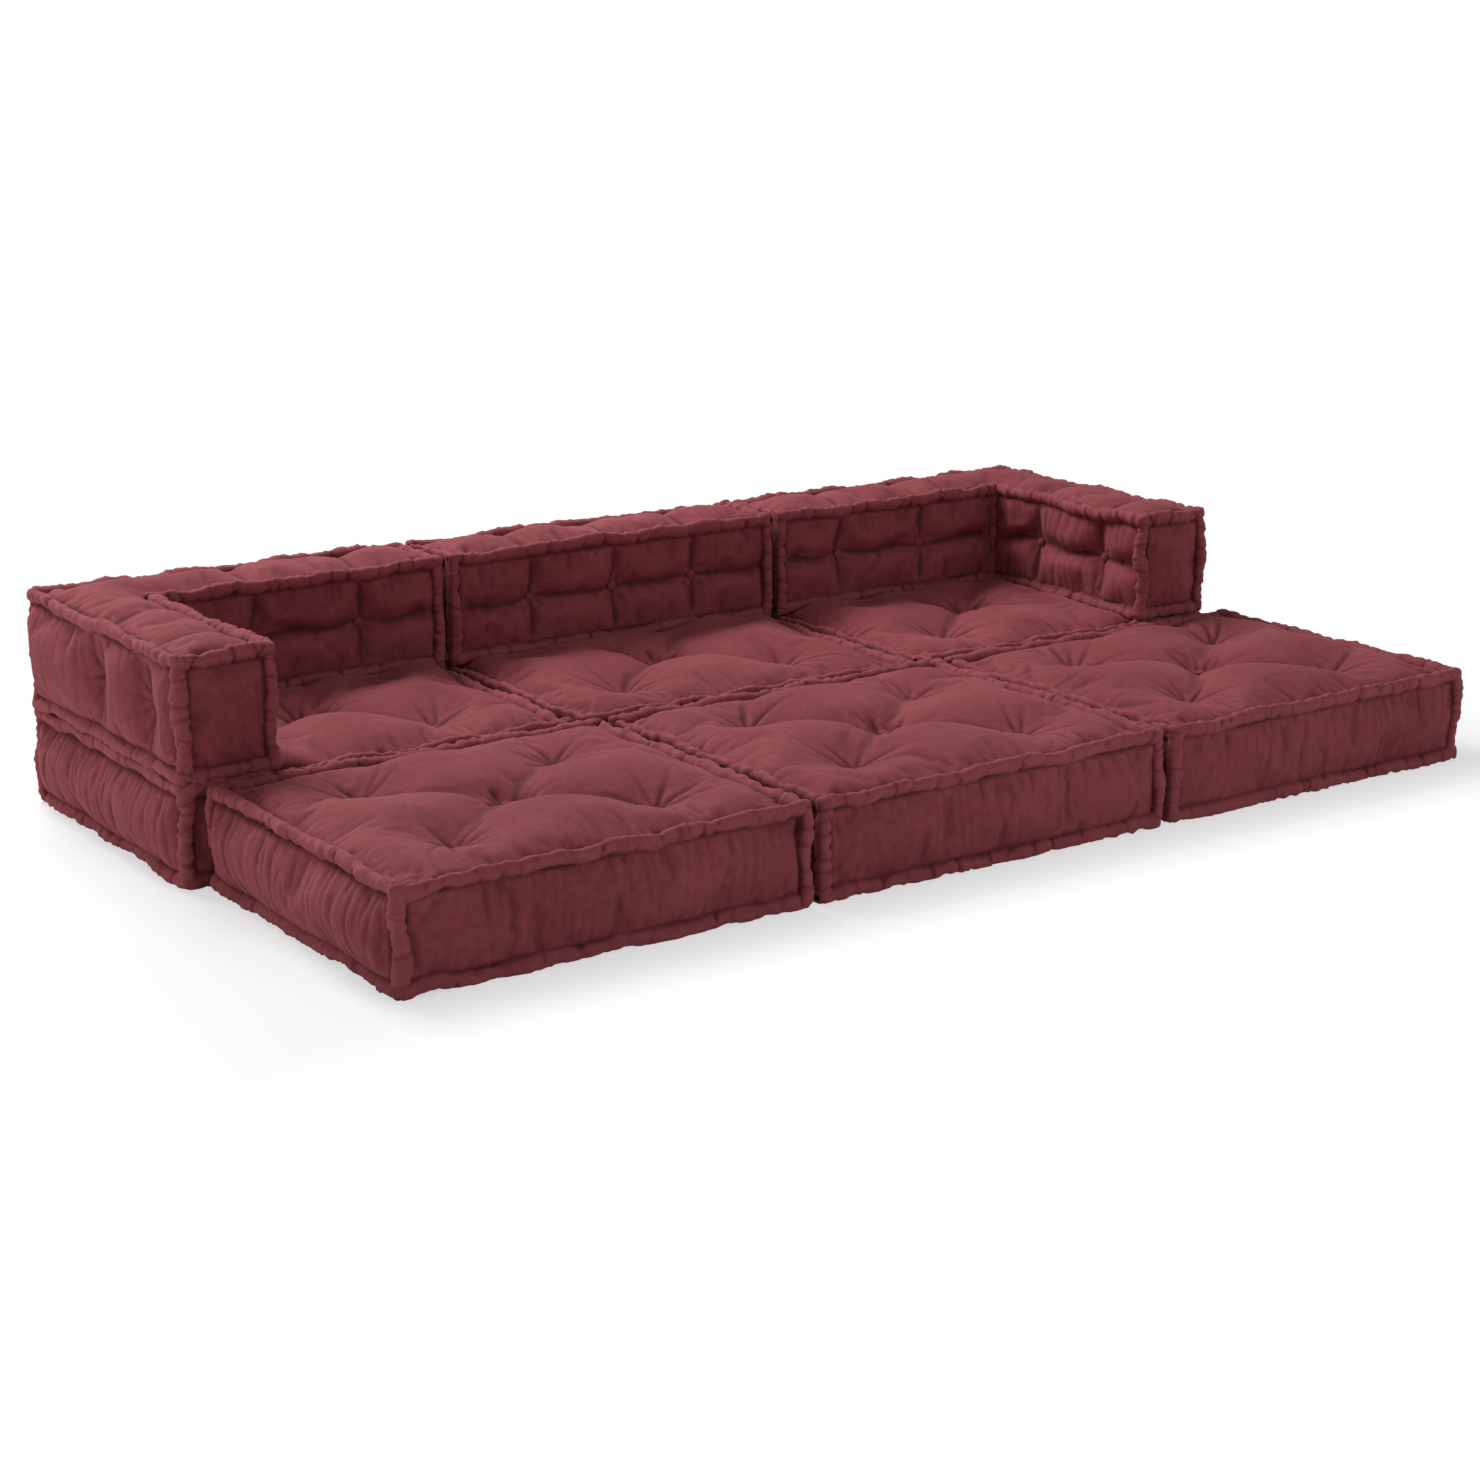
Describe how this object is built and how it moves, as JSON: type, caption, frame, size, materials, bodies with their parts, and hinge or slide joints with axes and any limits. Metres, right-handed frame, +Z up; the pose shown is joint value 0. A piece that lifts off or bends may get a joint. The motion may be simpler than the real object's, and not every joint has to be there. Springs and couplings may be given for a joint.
{
  "type": "modular sofa unit",
  "caption": "Low modular floor sofa of loose tufted cushions with rolled edges: seat pads in two rows, a straight back cushion and L-shaped corner back cushions.",
  "frame": {"origin": "on the floor, at the centre of the sofa's outline", "axes": "+X along the sofa, to the right as seen from the front; -Y to the front; +Z up"},
  "size_m": [2.164, 1.206, 0.3745],
  "materials": {
    "cover_canvas": "brushed cotton",
    "edge_rolls": "stitched cotton",
    "filling": "polyester wadding",
    "tuft_twine": "waxed twine"
  },
  "bodies": {
    "front_left_pad": {"front_left_pad_top_panel": "cover_canvas", "front_left_pad_bottom_panel": "cover_canvas", "front_left_pad_side_panels": "cover_canvas", "front_left_pad_edge_rolls": "edge_rolls", "front_left_pad_filling": "filling", "front_left_pad_tufts": "tuft_twine"},
    "front_middle_pad": {"front_middle_pad_top_panel": "cover_canvas", "front_middle_pad_bottom_panel": "cover_canvas", "front_middle_pad_side_panels": "cover_canvas", "front_middle_pad_edge_rolls": "edge_rolls", "front_middle_pad_filling": "filling", "front_middle_pad_tufts": "tuft_twine"},
    "front_right_pad": {"front_right_pad_top_panel": "cover_canvas", "front_right_pad_bottom_panel": "cover_canvas", "front_right_pad_side_panels": "cover_canvas", "front_right_pad_edge_rolls": "edge_rolls", "front_right_pad_filling": "filling", "front_right_pad_tufts": "tuft_twine"},
    "rear_left_pad": {"rear_left_pad_top_panel": "cover_canvas", "rear_left_pad_bottom_panel": "cover_canvas", "rear_left_pad_side_panels": "cover_canvas", "rear_left_pad_edge_rolls": "edge_rolls", "rear_left_pad_filling": "filling", "rear_left_pad_tufts": "tuft_twine"},
    "rear_middle_pad": {"rear_middle_pad_top_panel": "cover_canvas", "rear_middle_pad_bottom_panel": "cover_canvas", "rear_middle_pad_side_panels": "cover_canvas", "rear_middle_pad_edge_rolls": "edge_rolls", "rear_middle_pad_filling": "filling", "rear_middle_pad_tufts": "tuft_twine"},
    "rear_right_pad": {"rear_right_pad_top_panel": "cover_canvas", "rear_right_pad_bottom_panel": "cover_canvas", "rear_right_pad_side_panels": "cover_canvas", "rear_right_pad_edge_rolls": "edge_rolls", "rear_right_pad_filling": "filling", "rear_right_pad_tufts": "tuft_twine"},
    "left_corner_back": {"left_corner_back_top_panel": "cover_canvas", "left_corner_back_bottom_panel": "cover_canvas", "left_corner_back_side_panels": "cover_canvas", "left_corner_back_edge_rolls": "edge_rolls", "left_corner_back_filling": "filling", "left_corner_back_tufts": "tuft_twine"},
    "middle_back": {"middle_back_top_panel": "cover_canvas", "middle_back_bottom_panel": "cover_canvas", "middle_back_side_panels": "cover_canvas", "middle_back_edge_rolls": "edge_rolls", "middle_back_filling": "filling", "middle_back_tufts": "tuft_twine"},
    "right_corner_back": {"right_corner_back_top_panel": "cover_canvas", "right_corner_back_bottom_panel": "cover_canvas", "right_corner_back_side_panels": "cover_canvas", "right_corner_back_edge_rolls": "edge_rolls", "right_corner_back_filling": "filling", "right_corner_back_tufts": "tuft_twine"}
  },
  "joints": [
    {"name": "rear_left_pad_shift", "type": "slide", "parent": "rear_middle_pad", "child": "rear_left_pad", "axis": [-1, 0, 0], "range_m": [0, 0.3]},
    {"name": "rear_right_pad_shift", "type": "slide", "parent": "rear_middle_pad", "child": "rear_right_pad", "axis": [1, 0, 0], "range_m": [0, 0.3]},
    {"name": "front_left_pad_draw", "type": "slide", "parent": "rear_left_pad", "child": "front_left_pad", "axis": [0, -1, 0], "range_m": [0, 0.45]},
    {"name": "front_middle_pad_draw", "type": "slide", "parent": "rear_middle_pad", "child": "front_middle_pad", "axis": [0, -1, 0], "range_m": [0, 0.45]},
    {"name": "front_right_pad_draw", "type": "slide", "parent": "rear_right_pad", "child": "front_right_pad", "axis": [0, -1, 0], "range_m": [0, 0.45]},
    {"name": "left_corner_back_lift", "type": "slide", "parent": "rear_left_pad", "child": "left_corner_back", "axis": [0, 0, 1], "range_m": [0, 0.35]},
    {"name": "middle_back_lift", "type": "slide", "parent": "rear_middle_pad", "child": "middle_back", "axis": [0, 0, 1], "range_m": [0, 0.35]},
    {"name": "right_corner_back_lift", "type": "slide", "parent": "rear_right_pad", "child": "right_corner_back", "axis": [0, 0, 1], "range_m": [0, 0.35]}
  ]
}
